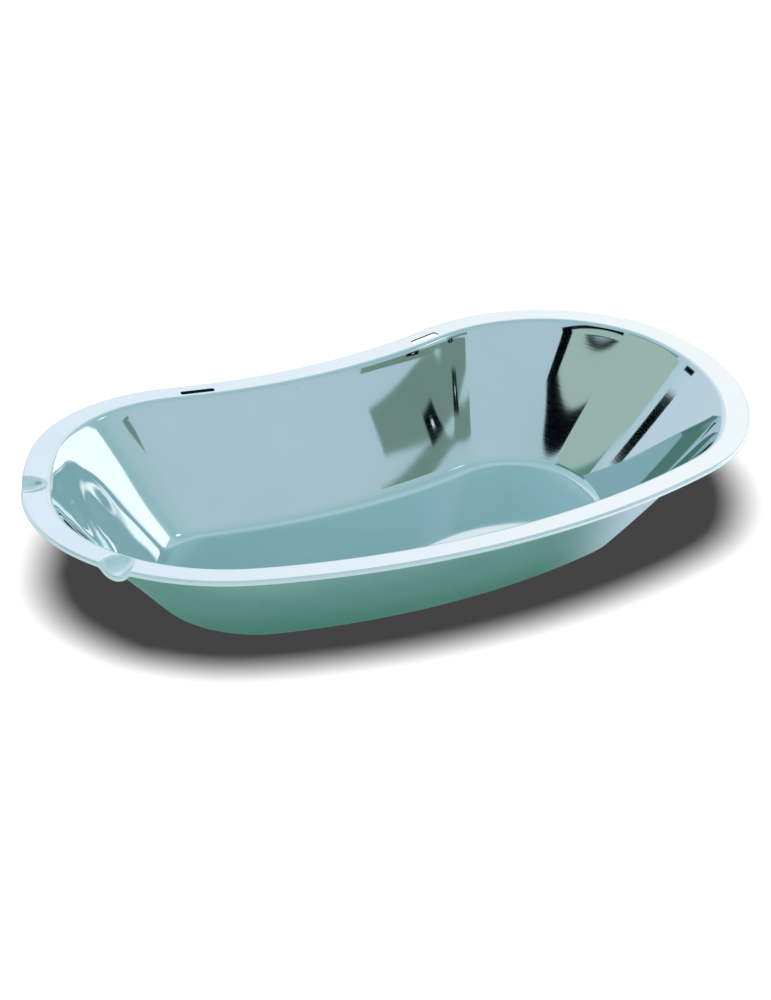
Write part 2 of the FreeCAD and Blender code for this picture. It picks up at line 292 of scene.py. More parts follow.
@dataclass(frozen=True)
class SteelFinish:
    """A finish on stainless steel sheet, as one procedural metal."""

    name: str
    colour: str
    deep_colour: str             # the cast in the hollows of the mottling
    roughness: float
    haze: float                  # how much rougher the wiped patches are
    patch_size: float            # millimetres across a wiped patch
    line_spacing: float          # between polishing lines, coarser than real ones so that they show
    line_depth: float
    line_stretch: float = 50.0   # how many times longer than its width a line is
    head_reflection_colour: str = ""         # a painted reflection, lighter and bluer, at the head of the pan
    head_reflection_start: float = 50.0
    head_reflection_full: float = 112.0
    foot_shade_colour: str = ""        # painted shade, deeper low down towards the foot
    foot_shade_height: float = 30.0
    speck_size: float = 0.0      # millimetres across a pit or a spot of dirt, or none
    speck_spacing: float = 24.0
    speck_colour: str = "#3E5258"
    speck_share: float = 0.6     # how much of the metal's colour a speck covers

    def tint(self, tree: bpy.types.NodeTree, place: bpy.types.NodeSocket,
             patches: bpy.types.NodeSocket) -> bpy.types.NodeSocket:
        """Colour the metal: mottled, with painted shade at the foot, a painted reflection at the head and
        the specks over it.

        Args:
            tree: the material's tree.
            place: the place on the object.
            patches: the mottling.

        Returns:
            The colour.
        """
        colour = add_node(tree, "ShaderNodeMix", {"data_type": "RGBA"}, {
            0: patches, 6: linear(self.deep_colour), 7: linear(self.colour),
        }).outputs[2]
        along, _, upward = add_node(tree, "ShaderNodeSeparateXYZ", None, {0: place}).outputs
        over = []
        # Painted shade darkens the foot.
        if self.foot_shade_colour:
            over.append((self.foot_shade_colour, upward, (0.0, self.foot_shade_height * MM), (1.0, 0.0)))
        # A painted reflection lightens the head.
        if self.head_reflection_colour:
            over.append((self.head_reflection_colour, along, (self.head_reflection_start * MM, self.head_reflection_full * MM), (0.0, 1.0)))
        if self.speck_size:
            apart = add_node(tree, "ShaderNodeTexVoronoi", {"feature": "F1"}, {
                "Vector": place, "Scale": 1 / (self.speck_spacing * MM), "Randomness": 1.0,
            }).outputs["Distance"]
            edge = self.speck_size / 2 / self.speck_spacing
            over.append((self.speck_colour, apart, (edge / 2, edge), (self.speck_share, 0.0)))
        for code, value, (start, stop), (low, high) in over:
            share = add_node(tree, "ShaderNodeMapRange", {"interpolation_type": "SMOOTHSTEP"}, {
                "Value": value, "From Min": start, "From Max": stop, "To Min": low, "To Max": high,
            }).outputs[0]
            colour = add_node(tree, "ShaderNodeMix", {"data_type": "RGBA"},
                              {0: share, 6: colour, 7: linear(code)}).outputs[2]
        return colour

    def material(self) -> bpy.types.Material:
        """Build the finish.

        Returns:
            The new material.
        """
        made = bpy.data.materials.new(self.name)
        made.use_nodes = True
        tree = made.node_tree
        tree.nodes.clear()
        place = add_node(tree, "ShaderNodeTexCoord").outputs["Object"]
        strip = add_node(tree, "ShaderNodeUVMap", {"uv_map": STRIP_MAP}).outputs["UV"]
        patches = add_node(tree, "ShaderNodeTexNoise", None, {
            "Vector": place, "Scale": 1 / (self.patch_size * MM), "Detail": 4.0, "Roughness": 0.55,
        }).outputs[0]
        drawn_out = add_node(tree, "ShaderNodeMapping", None, {
            "Vector": strip, "Scale": (1 / self.line_stretch, 1.0, 1.0),
        }).outputs[0]
        lines = add_node(tree, "ShaderNodeTexNoise", None, {
            "Vector": drawn_out, "Scale": 1 / (self.line_spacing * MM), "Detail": 3.0,
        }).outputs[0]
        rough = add_node(tree, "ShaderNodeMapRange", None, {
            "Value": patches, "From Min": 0.35, "From Max": 0.7,
            "To Min": self.roughness, "To Max": self.roughness + self.haze,
        }).outputs[0]
        swing = self.haze / 3    # a line changes the roughness a third as much as a patch does
        streaks = add_node(tree, "ShaderNodeMapRange", None, {
            "Value": lines, "From Min": 0.3, "From Max": 0.7, "To Min": -swing, "To Max": swing,
        }).outputs[0]
        rough = add_node(tree, "ShaderNodeMath", {"operation": "ADD", "use_clamp": True},
                         {0: rough, 1: streaks}).outputs[0]
        bump = add_node(tree, "ShaderNodeBump", None, {
            "Strength": 1.0, "Distance": self.line_depth * MM, "Height": lines,
        }).outputs[0]
        colour = self.tint(tree, place, patches)
        shader = add_node(tree, "ShaderNodeBsdfPrincipled", None, {
            "Metallic": 1.0, "Base Color": colour, "Roughness": rough, "Normal": bump,
        })
        add_node(tree, "ShaderNodeOutputMaterial", None, {"Surface": shader.outputs[0]})
        return made


# 18/8 stainless sheet, buffed to a mirror inside: cool, with wiped hazes that blur it a little.
MIRROR_INSIDE = SteelFinish(
    name="buffed_stainless_inside", colour="#D2E2E7", deep_colour="#C9DBE0",
    roughness=0.025, haze=0.03, patch_size=45.0, line_spacing=0.8, line_depth=0.0012, speck_size=1.1,
)
# The same sheet on the flange, buffed after pressing: it throws the lights back almost white.
BRIGHT_FLANGE = SteelFinish(
    name="bright_stainless_flange", colour="#E6EEF4", deep_colour="#DCE8F2",
    roughness=0.14, haze=0.06, patch_size=30.0, line_spacing=0.5, line_depth=0.002,
)
# The same sheet rolled under at the edge: stretched, so a little duller than the flange.
ROLLED_EDGE = SteelFinish(
    name="rolled_stainless_edge", colour="#EDF3F6", deep_colour="#DFE8EE",
    roughness=0.22, haze=0.06, patch_size=12.0, line_spacing=0.5, line_depth=0.002,
)
# The drawn outside is only brushed: a satin blue-green grey, with painted shade darkening it towards the
# foot and a painted reflection lightening it at the head.
SATIN_OUTSIDE = SteelFinish(
    name="satin_stainless_outside", colour="#B8D2D2", deep_colour="#A9C8C6",
    roughness=0.27, haze=0.08, patch_size=35.0, line_spacing=0.7, line_depth=0.003, speck_size=1.2,
    head_reflection_colour="#F2FAFF", foot_shade_colour="#84B4A6",
)
# The sheared edge inside a slot and round its lip: unpolished, so duller, and painted dark besides as the
# slot's shade.
SHEARED_EDGE_AND_SHADE = SteelFinish(
    name="sheared_edge_and_slot_shade", colour="#3A4A50", deep_colour="#202A2E",
    roughness=0.5, haze=0.2, patch_size=2.0, line_spacing=0.3, line_depth=0.02,
)
# Drawn steel wire: fine lines along it and a plain grey.
DRAWN_WIRE = SteelFinish(
    name="drawn_steel_wire", colour="#AEB9BD", deep_colour="#98A4A8",
    roughness=0.32, haze=0.12, patch_size=6.0, line_spacing=0.2, line_depth=0.004,
)


@dataclass
class PanShell:
    """The pressing: bowl, flange and curled edge as one closed sheet, with its two slots."""

    plan: KidneyPlan
    grooves: tuple[Groove, ...]
    slots: tuple[Slot, ...]
    depth: float = 65.5          # from the floor's top to the flange's
    sheet: float = 0.8
    flange_width: float = 15.0
    wall_inset: float = 57.5
    head_rake: float = 21.5
    tail_rake: float = 15.0
    mouth_fillet: float = 4.0
    floor_fillet: float = 10.0
    wall_bow: float = 0.9        # the drawn wall bellies out this much halfway up
    wire_diameter: float = 1.6
    curl_end: float = -195.0     # the curl turns from 90 degrees to this, nearly closed
    curl_bevel: float = 0.12     # radians that the curl's rounded end adds to that
    floor_steps: int = 7
    floor_crowding: float = 0.6  # under one, the floor's rings lie closer together near its edge
    floor_fillet_steps: int = 9
    wall_steps: int = 15
    mouth_fillet_steps: int = 7
    flange_steps: int = 9
    curl_steps: int = 15
    inner_curl_steps: int = 10
    ripple: float = 0.05         # depth of the faint waves of the whole wall
    tail_ripple: float = 0.30    # depth of the stronger waves where the tail's end was drawn
    tail_start: float = -118.0
    tail_full: float = -160.0
    sharp_angle: float = 40.0

    @property
    def top(self) -> float:
        """The height of the flange's top."""
        return self.sheet + self.depth

    @property
    def curl_radius(self) -> float:
        """The curl's outside radius, round the wire."""
        return self.wire_diameter / 2 + self.sheet

    def frame_shift(self) -> complex:
        """Move the plan so that its middle is the middle of the CAD box.

        Returns:
            The move in plan, x + y i.
        """
        rim = self.plan.outline()
        low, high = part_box(SHELL_NODE)
        middle = complex(low.x + high.x, low.y + high.y) / (2 * MM)
        box = complex(rim.real.min() + rim.real.max(), rim.imag.min() + rim.imag.max()) / 2
        return middle - box

    def rim(self) -> tuple[np.ndarray, np.ndarray]:
        """Place the rim.

        Returns:
            The rim's outline and its outward directions.
        """
        line = self.plan.outline() + self.frame_shift()
        step = np.roll(line, -1) - np.roll(line, 1)
        return line, -1j * step / np.abs(step)

    def sunk(self, points: np.ndarray) -> np.ndarray:
        """How far the grooves sink the sheet at places in plan."""
        rim, _ = self.rim()
        return sum(groove.drop(points, rim) for groove in self.grooves)

    def upper_rings(self) -> tuple[list[np.ndarray], list[Place]]:
        """The top of the sheet from the floor's middle to the curl's top.

        Returns:
            The rings, each with a row for each sample, and the place of the strip before each.
        """
        rim, outward = self.rim()
        shift = self.frame_shift()
        edge = self.plan.outline(self.wall_inset, self.head_rake, self.tail_rake) + shift
        mouth = rim - self.flange_width * outward
        lean = mouth - edge
        level = lean / np.abs(lean)
        rise = self.top - self.sheet
        slope = np.arctan2(rise, np.abs(lean))
        rings, places = [], []

        def ring(flat: np.ndarray, height: np.ndarray | float, place: Place) -> None:
            """Keep one ring.

            Args:
                flat: its places in plan.
                height: its height.
                place: the stretch of the section that it ends.
            """
            high = np.broadcast_to(height, flat.shape)
            rings.append(np.stack([flat.real, flat.imag, high], axis=1))
            places.append(place)

        start = edge - level * self.floor_fillet * np.tan(slope / 2)
        middle = start.mean()
        for share in np.linspace(0, 1, self.floor_steps + 1)[1:]:
            ring(middle + (start - middle) * share ** self.floor_crowding, self.sheet, Place.INSIDE)
        for share in np.linspace(0, 1, self.floor_fillet_steps + 1)[1:]:
            turn = slope * share
            ring(start + level * self.floor_fillet * np.sin(turn),
                 self.sheet + self.floor_fillet * (1 - np.cos(turn)), Place.INSIDE)
        low = self.floor_fillet * np.tan(slope / 2)
        high = self.mouth_fillet * np.tan(slope / 2)
        full = np.hypot(rise, np.abs(lean))
        for share in np.linspace(0, 1, self.wall_steps + 1)[1:]:
            along = (low + (full - high - low) * share) / full
            bow = self.wall_bow * 4 * share * (1 - share)
            ring(edge + lean * along + level * bow * np.sin(slope),
                 self.sheet + rise * along - bow * np.cos(slope), Place.INSIDE)
        for share in np.linspace(1, 0, self.mouth_fillet_steps + 1)[1:]:
            turn = slope * share
            ring(mouth + level * (high - self.mouth_fillet * np.sin(turn)),
                 self.top - self.mouth_fillet * (1 - np.cos(turn)), Place.INSIDE)
        inner, outer = mouth + level * high, rim - self.curl_radius * outward
        for share in np.linspace(0, 1, self.flange_steps + 1)[1:]:
            ring(inner + (outer - inner) * share, self.top, Place.FLANGE)
        return rings, places

    def wave(self, points: np.ndarray) -> np.ndarray:
        """Work out the sheet's small departure from its true shape, which bends what it mirrors.

        Args:
            points: places on the sheet.

        Returns:
            How far each place moves along its normal.
        """
        x, y, z = points[..., 0], points[..., 1], points[..., 2]
        height = smooth_step(z, self.sheet, self.sheet + 2 * self.floor_fillet)
        height = height * smooth_step(self.top - z, 0.0, 3 * self.mouth_fillet)
        # Each divisor is a wave's length over two pi, and each number added is a phase.
        calm = np.sin(x / 23 + 0.6) * np.sin(y / 31 + z / 17) + 0.6 * np.sin(x / 11 - z / 9 + y / 14)
        rough = np.sin(y / 8.5 + z / 6.0) + 0.8 * np.sin(y / 5.2 - z / 4.3 + 1.0) * np.sin(z / 9.0 + 0.4)
        tail = smooth_step(-x, -self.tail_start, -self.tail_full)
        return height * (self.ripple * calm + self.tail_ripple * tail * rough)

    @staticmethod
    def normals(grid: np.ndarray) -> np.ndarray:
        """Find the sheet's upward directions.

        Args:
            grid: the sheet's rings.

        Returns:
            One direction for each place, as an array of the same shape.
        """
        along = np.roll(grid, -1, axis=1) - np.roll(grid, 1, axis=1)
        across = np.gradient(grid, axis=0)
        found = np.cross(across, along)
        return found / np.linalg.norm(found, axis=2, keepdims=True)

    def curl_rings(self) -> list[np.ndarray]:
        """Curl the edge: outside round from the flange, over the sheet's end, and back inside.

        Returns:
            The rings, each with a row for each sample.
        """
        rim, outward = self.rim()
        line = rim - self.curl_radius * outward
        middle = self.top - self.curl_radius - self.sunk(line)
        last = math.radians(self.curl_end)
        turns = np.linspace(math.pi / 2, last, self.curl_steps + 1)[1:]
        outside = [(self.curl_radius, turn) for turn in turns]
        end = [(self.curl_radius - self.sheet / 2, last - self.curl_bevel)]
        turns = np.linspace(last, math.pi / 2, self.inner_curl_steps + 1)
        inside = [(self.wire_diameter / 2, turn) for turn in turns]
        rings = []
        for radius, turn in outside + end + inside:
            flat = line + outward * radius * math.cos(turn)
            rings.append(np.stack([flat.real, flat.imag, middle + radius * math.sin(turn)], axis=1))
        return rings

    def grid(self) -> tuple[np.ndarray, list[Place]]:
        """Every ring of the closed section.

        Returns:
            The rings as one array, and the place of the strip that ends at each ring.
        """
        rings, places = self.upper_rings()
        upper = np.array(rings)
        upper[..., 2] -= self.sunk(upper[..., 0] + 1j * upper[..., 1])
        upper = upper + self.normals(upper) * self.wave(upper)[..., None]
        lower = upper - self.normals(upper) * self.sheet
        curl = np.array(self.curl_rings())
        whole = np.concatenate([upper, curl, lower[::-1]])
        places = places + [Place.CURL] * len(curl) + [Place.OUTSIDE] * len(lower)
        return whole * MM, places

    def mesh(self) -> bpy.types.Mesh:
        """Close the rings into a mesh, with the place's finish on each strip.

        Returns:
            The new mesh.
        """
        grid, places = self.grid()
        count, samples = grid.shape[:2]
        poles = np.stack([grid[0].mean(axis=0), grid[-1].mean(axis=0)])
        points = np.concatenate([grid.reshape(-1, 3), poles])
        pole = count * samples
        first = np.arange(samples)
        second = np.roll(first, -1)
        pairs = np.stack([first, second], axis=1).tolist()
        faces = [[pole, one, other] for one, other in pairs]
        finish = [places[0].value] * samples
        for index in range(count - 1):
            here, there = index * samples, (index + 1) * samples
            strip = [here + first, there + first, there + second, here + second]
            faces += np.stack(strip, axis=1).tolist()
            finish += [places[index + 1].value] * samples
        last = (count - 1) * samples
        faces += [[pole + 1, last + other, last + one] for one, other in pairs]
        finish += [places[-1].value] * samples
        made = bpy.data.meshes.new(SHELL_NODE)
        made.from_pydata(points.tolist(), [], faces)
        made.polygons.foreach_set("material_index", finish)
        self.unwrap(made, grid)
        made.polygons.foreach_set("use_smooth", [True] * len(faces))
        made.update()
        return made

    def unwrap(self, made: bpy.types.Mesh, grid: np.ndarray) -> None:
        """Lay out the UV strip, in metres round the rim and across the section.

        Args:
            made: the mesh, with its poles after its rings.
            grid: the rings.
        """
        count, samples = grid.shape[:2]
        pole, faces = count * samples, len(made.polygons)
        across = np.linalg.norm(np.diff(grid, axis=0), axis=2).mean(axis=1)
        height = np.concatenate([[0.0], np.cumsum(across)])
        step = self.plan.stations()[2] * MM / samples
        corner = np.array([loop.vertex_index for loop in made.loops])
        ring, place = np.divmod(corner, samples)
        face_of = np.repeat(np.arange(faces), [face.loop_total for face in made.polygons])
        ringed = corner < pole
        low, high = np.full(faces, samples), np.zeros(faces, int)
        np.minimum.at(low, face_of[ringed], place[ringed])
        np.maximum.at(high, face_of[ringed], place[ringed])
        seam = ((low == 0) & (high == samples - 1))[face_of]
        along = np.where(seam & (place == 0), samples, place) * step
        along = np.where(ringed, along, (low[face_of] + 0.5) * step)
        upward = np.where(ringed, height[np.minimum(ring, count - 1)], height[-1])
        upward = np.where(corner == pole, 0.0, upward)
        layer = made.uv_layers.new(name=STRIP_MAP)
        layer.data.foreach_set("uv", np.stack([along, upward], axis=1).astype(np.float32).ravel())

    def bar(self, slot: Slot, name: str, grow: float, low: float, high: float,
            edge: bpy.types.Material) -> bpy.types.Object:
        """Make an upright bar with a slot's rounded outline.

        Args:
            slot: which slot.
            name: the bar's name.
            grow: how much wider the bar is than the slot, all round.
            low: its foot, above the flange's top.
            high: its head, above the flange's top.
            edge: the finish that it leaves on what it cuts, painted dark as the slot's shade.

        Returns:
            The bar, as an object of its own.
        """
        rim, outward = self.rim()
        line = rim - slot.inset * outward
        nearest = np.argmin(np.where(line.imag > 0, np.abs(line.real - slot.x), np.inf))
        count = 4 * slot.corner_steps
        turns = (np.arange(count) + 0.5) / count * math.tau
        rounded = np.exp(1j * turns) * (slot.corner + grow)
        rounded += np.sign(rounded.real) * (slot.length / 2 - slot.corner)
        rounded += 1j * np.sign(rounded.imag) * (slot.width / 2 - slot.corner)
        flat = line[nearest] + rounded * -1j * outward[nearest]
        points = [(spot.real * MM, spot.imag * MM, (self.top + lift) * MM)
                  for lift in (low, high) for spot in flat]
        faces = [[n, (n + 1) % count, count + (n + 1) % count, count + n] for n in range(count)]
        faces += [list(range(count))[::-1], list(range(count, 2 * count))]
        shape = bpy.data.meshes.new(name)
        shape.from_pydata(points, [], faces)
        shape.materials.append(edge)
        made = bpy.data.objects.new(name, shape)
        bpy.context.scene.collection.objects.link(made)
        return made

    def build(self) -> bpy.types.Object:
        """Make the shell, dress it, punch its slots and tie it to the frame.

        Returns:
            The finished piece.
        """
        shape = self.mesh()
        # The slots' edges and lip get a dull finish, painted dark as the slot's shade.
        edge = SHEARED_EDGE_AND_SHADE.material()
        for finish in (MIRROR_INSIDE, BRIGHT_FLANGE, ROLLED_EDGE, SATIN_OUTSIDE):
            shape.materials.append(finish.material())
        piece = bpy.data.objects.new("pan_pressing", shape)
        bpy.context.scene.collection.objects.link(piece)
        under, middle, clear = -self.sheet, -self.sheet / 2, 4 * self.sheet
        steps = [("UNION", self.bar(slot, f"{slot.name}_lip", self.sheet, under - slot.lip, middle, edge))
                 for slot in self.slots if slot.lip]
        steps += [("DIFFERENCE", self.bar(slot, f"{slot.name}_punch", 0.0, -clear, clear, edge))
                  for slot in self.slots]
        for operation, bar in steps:
            change = piece.modifiers.new(bar.name, "BOOLEAN")
            change.operation, change.solver, change.material_mode = operation, "EXACT", "TRANSFER"
            change.object = bar
        plain_mesh(piece)
        for _, bar in steps:
            bpy.data.objects.remove(bar)
        piece.visible_diffuse = False    # so that the paper doesn't take up the steel's cast
        piece.data.set_sharp_from_angle(angle=math.radians(self.sharp_angle))
        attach(piece, BODY)
        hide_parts(SHELL_NODE)
        return piece


def plain_mesh(piece: bpy.types.Object) -> None:
    """Turn a piece's modifiers into its mesh.

    Args:
        piece: the piece, which keeps no modifier.
    """
    graph = bpy.context.evaluated_depsgraph_get()
    done = bpy.data.meshes.new_from_object(piece.evaluated_get(graph))
    piece.modifiers.clear()
    piece.data = done


@dataclass
class CoreWire:
    """The wire inside the curled edge, swept along the rim's line."""

    shell: PanShell
    clearance: float = 0.02
    sides: int = 12

    def tree(self) -> bpy.types.NodeTree:
        """Build the Geometry Nodes tree that sweeps a round section along a closed line.

        Returns:
            The tree, with the inputs Line, Wire Radius, Sides and Finish.
        """
        tree = bpy.data.node_groups.new("sweep_wire", "GeometryNodeTree")
        face = tree.interface
        face.new_socket("Line", in_out="INPUT", socket_type="NodeSocketGeometry")
        face.new_socket("Wire Radius", in_out="INPUT", socket_type="NodeSocketFloat")
        face.new_socket("Sides", in_out="INPUT", socket_type="NodeSocketInt")
        face.new_socket("Finish", in_out="INPUT", socket_type="NodeSocketMaterial")
        face.new_socket("Wire", in_out="OUTPUT", socket_type="NodeSocketGeometry")
        given = add_node(tree, "NodeGroupInput").outputs
        line = add_node(tree, "GeometryNodeMeshToCurve", None, {"Mesh": given["Line"]})
        section = add_node(tree, "GeometryNodeCurvePrimitiveCircle", None, {
            "Radius": given["Wire Radius"], "Resolution": given["Sides"],
        })
        swept = add_node(tree, "GeometryNodeCurveToMesh", None, {
            "Curve": line.outputs[0], "Profile Curve": section.outputs[0],
        })
        smooth = add_node(tree, "GeometryNodeSetShadeSmooth", None, {0: swept.outputs[0]})
        real = add_node(tree, "GeometryNodeRealizeInstances", None, {0: smooth.outputs[0]})
        dressed = add_node(tree, "GeometryNodeSetMaterial", None, {
            "Geometry": real.outputs[0], "Material": given["Finish"],
        })
        add_node(tree, "NodeGroupOutput", None, {0: dressed.outputs[0]})
        return tree

    def build(self) -> bpy.types.Object:
        """Sweep the wire and tie it to the frame.

        Returns:
            The finished piece.
        """
        rim, outward = self.shell.rim()
        line = rim - self.shell.curl_radius * outward
        height = self.shell.top - self.shell.curl_radius - self.shell.sunk(line)
        points = np.stack([line.real, line.imag, height], axis=1) * MM
        count = len(points)
        shape = bpy.data.meshes.new("rim_line")
        shape.from_pydata(points.tolist(), [(n, (n + 1) % count) for n in range(count)], [])
        piece = bpy.data.objects.new("edge_core_wire", shape)
        bpy.context.scene.collection.objects.link(piece)
        tree = self.tree()
        sweep = piece.modifiers.new("sweep", "NODES")
        sweep.node_group = tree
        values = {
            "Wire Radius": (self.shell.wire_diameter / 2 - self.clearance) * MM,
            "Sides": self.sides,
            "Finish": DRAWN_WIRE.material(),
        }
        for item in tree.interface.items_tree:
            if item.name in values:
                sweep[item.identifier] = values[item.name]
        plain_mesh(piece)
        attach(piece, BODY)
        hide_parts(WIRE_NODE)
        return piece


def mirror_ray(tree: bpy.types.NodeTree) -> bpy.types.NodeSocket:
    """Tell the rays that only the steel has thrown from those that a matt surface has too.

    Args:
        tree: the world's tree, or the floor's.

    Returns:
        One for a ray that only the steel has thrown, and nought for any other.
    """
    path = add_node(tree, "ShaderNodeLightPath").outputs
    straight = add_node(tree, "ShaderNodeMath", {"operation": "LESS_THAN"},
                        {0: path["Diffuse Depth"], 1: 0.5}).outputs[0]
    return add_node(tree, "ShaderNodeMath", {"operation": "MULTIPLY"},
                    {0: path["Is Glossy Ray"], 1: straight}).outputs[0]


@dataclass(frozen=True)
class Card:
    """A flat card or lamp that the steel mirrors, far off, in degrees as the pan sees it."""

    name: str
    turn: float                  # to the right of straight behind the pan
    lift: float                  # above level
    width: float
    height: float
    colour: str
    strength: float = 1.0
    tilt: float = 0.0
    slide: float = 0.0           # its middle, moved along its width
    rise: float = 0.0            # and along its height
    soft: float = 2.0


@dataclass(frozen=True)
class StudioSky:
    """The soft room round the pan: what it lights with and what the steel mirrors."""

    facing: float                # the camera's azimuth, in degrees
    strength: float = 2.0
    bands: tuple[tuple[float, str], ...] = (
        (0.0, "#93A0A8"),
        (30.0, "#96A2A9"),
        (45.0, "#96A1A8"),
        (75.0, "#8E9FA3"),
        (105.0, "#829A9B"),
        (130.0, "#95A6AB"),
        (150.0, "#A5ADB4"),
        (180.0, "#A5ADB4"),
    )
    cards: tuple[Card, ...] = (
        Card("white_wall", turn=53.0, lift=8.0, width=54.0, height=40.0, colour="#F4F6FB", strength=0.78),
        Card("bright_gap", turn=83.5, lift=37.0, width=5.5, height=7.5, colour="#FFEFEA", strength=1.0),
        Card("back_panel", turn=0.0, lift=26.0, width=40.0, height=34.0, colour="#B4BABF", soft=14.0),
        Card("back_window", turn=9.0, lift=26.0, width=16.0, height=30.0, colour="#C8C6C2", soft=11.0),
        Card("top_glow", turn=-5.0, lift=68.0, width=50.0, height=24.0, colour="#8EA4A7", soft=20.0),
        Card("banner", turn=103.5, lift=21.5, tilt=-25.0, slide=-0.3, rise=0.6, width=19.0, height=4.4,
             colour="#66786E", strength=0.85, soft=0.5),
        Card("banner_fold", turn=102.0, lift=23.6, tilt=-33.0, slide=3.5, rise=1.6, width=17.0,
             height=2.0, colour="#66786E", strength=0.85, soft=0.5),
        Card("dark_lens", turn=102.0, lift=23.6, tilt=-33.0, slide=-3.4, width=3.6, height=2.1,
             colour="#0A1614", strength=0.4, soft=0.4),
        Card("lens_glint", turn=102.0, lift=23.6, tilt=-33.0, slide=-3.5, width=0.5, height=0.4,
             colour="#E8F0F2", strength=0.8, soft=0.2),
        Card("warm_panel", turn=-80.0, lift=40.0, tilt=34.0, rise=-0.3, width=44.0, height=7.0,
             colour="#7F8A82", strength=1.2, soft=0.6),
        Card("window_frame", turn=-120.0, lift=51.5, tilt=14.0, slide=-6.0, rise=1.3, width=40.0,
             height=6.0, colour="#04080C", strength=0.5, soft=0.5),
        Card("window_pane", turn=-120.0, lift=51.5, tilt=14.0, slide=10.0, rise=0.45, width=58.0,
             height=3.4, colour="#7F8A82", strength=1.2, soft=0.3),
        Card("dark_shelf", turn=-52.0, lift=23.4, tilt=38.0, slide=-0.8, rise=0.3, width=5.6, height=1.9,
             colour="#040A0A", strength=0.5, soft=0.2),
        Card("green_shelf", turn=-74.0, lift=44.0, tilt=38.0, slide=3.0, rise=1.4, width=30.0, height=7.8,
             colour="#526E62", soft=0.6),
    )
    ambient: float = 0.06        # what little light the room sheds on matt surfaces

    def build(self) -> None:
        """Build the world: white to the camera, the room to the steel, and dim to all else."""
        world = bpy.data.worlds.new("studio")
        bpy.context.scene.world = world
        world.use_nodes = True
        tree = world.node_tree
        tree.nodes.clear()
        direction = add_node(tree, "ShaderNodeTexCoord").outputs["Generated"]
        turned = add_node(tree, "ShaderNodeVectorRotate", {"rotation_type": "Z_AXIS"}, {
            "Vector": direction, "Angle": -math.radians(self.facing),
        }).outputs[0]
        parts = add_node(tree, "ShaderNodeSeparateXYZ", None, {0: turned}).outputs
        toward = add_node(tree, "ShaderNodeMath", {"operation": "MULTIPLY"},
                          {0: parts[1], 1: -1.0}).outputs[0]
        over = add_node(tree, "ShaderNodeMath", {"operation": "ARCTAN2"},
                        {0: parts[2], 1: toward}).outputs[0]
        share = add_node(tree, "ShaderNodeMath", {"operation": "DIVIDE", "use_clamp": True},
                         {0: over, 1: math.pi}).outputs[0]
        ramp = add_node(tree, "ShaderNodeValToRGB", None, {0: share})
        ramp.color_ramp.interpolation = "EASE"
        elements = ramp.color_ramp.elements
        elements.remove(elements[1])
        elements[0].position, elements[0].color = 0.0, linear(self.bands[0][1])
        for angle, code in self.bands[1:]:
            elements.new(angle / 180).color = linear(code)
        colour = ramp.outputs[0]
        for card in self.cards:
            colour = self.hang(tree, turned, colour, card)
        white = linear("#FFFFFF")
        room = add_node(tree, "ShaderNodeBackground", None, {"Color": colour, "Strength": self.strength})
        page = add_node(tree, "ShaderNodeBackground", None, {"Color": white, "Strength": 1.0})
        dim = add_node(tree, "ShaderNodeBackground", None, {"Color": white, "Strength": self.ambient})
        lit = add_node(tree, "ShaderNodeMixShader", None,
                       {0: mirror_ray(tree), 1: dim.outputs[0], 2: room.outputs[0]})
        seen = add_node(tree, "ShaderNodeLightPath").outputs["Is Camera Ray"]
        mixed = add_node(tree, "ShaderNodeMixShader", None,
                         {0: seen, 1: lit.outputs[0], 2: page.outputs[0]})
        add_node(tree, "ShaderNodeOutputWorld", None, {0: mixed.outputs[0]})

    def hang(self, tree: bpy.types.NodeTree, turned: bpy.types.NodeSocket, below: bpy.types.NodeSocket,
             card: Card) -> bpy.types.NodeSocket:
        """Lay one card over the sky.

        Args:
            tree: the world's tree.
            turned: the direction, with the camera's side behind it.
            below: the colour under the card.
            card: what to lay over it.

        Returns:
            The colour with the card in it.
        """
        stand = Matrix.Rotation(-math.radians(card.turn), 3, "Z")
        stand = stand @ Matrix.Rotation(math.radians(card.lift), 3, "X")
        stand = stand @ Matrix.Rotation(math.radians(card.tilt), 3, "Y")
        across, ahead, upward = [add_node(tree, "ShaderNodeVectorMath", {"operation": "DOT_PRODUCT"}, {
            0: turned, 1: stand.col[axis][:],
        }).outputs["Value"] for axis in range(3)]
        # The card is left out behind its own plane, and the division stays clear of nought.
        cover = add_node(tree, "ShaderNodeMath", {"operation": "GREATER_THAN"},
                         {0: ahead, 1: 0.01}).outputs[0]
        ahead = add_node(tree, "ShaderNodeMath", {"operation": "MAXIMUM"},
                         {0: ahead, 1: 0.001}).outputs[0]
        for value, size, middle in ((across, card.width, card.slide), (upward, card.height, card.rise)):
            off = add_node(tree, "ShaderNodeMath", {"operation": "DIVIDE"},
                           {0: value, 1: ahead}).outputs[0]
            off = add_node(tree, "ShaderNodeMath", {"operation": "SUBTRACT"},
                           {0: off, 1: math.radians(middle)}).outputs[0]
            off = add_node(tree, "ShaderNodeMath", {"operation": "ABSOLUTE"}, {0: off}).outputs[0]
            edge, ease = math.radians(size / 2), math.radians(card.soft / 2)
            within = add_node(tree, "ShaderNodeMapRange", {"interpolation_type": "SMOOTHSTEP"}, {
                "Value": off, "From Min": edge + ease, "From Max": edge - ease,
            }).outputs[0]
            cover = add_node(tree, "ShaderNodeMath", {"operation": "MULTIPLY"},
                             {0: cover, 1: within}).outputs[0]
        tone = [part * card.strength for part in linear(card.colour)[:3]] + [1.0]
        return add_node(tree, "ShaderNodeMix", {"data_type": "RGBA"},
                        {0: cover, 6: below, 7: tone}).outputs[2]


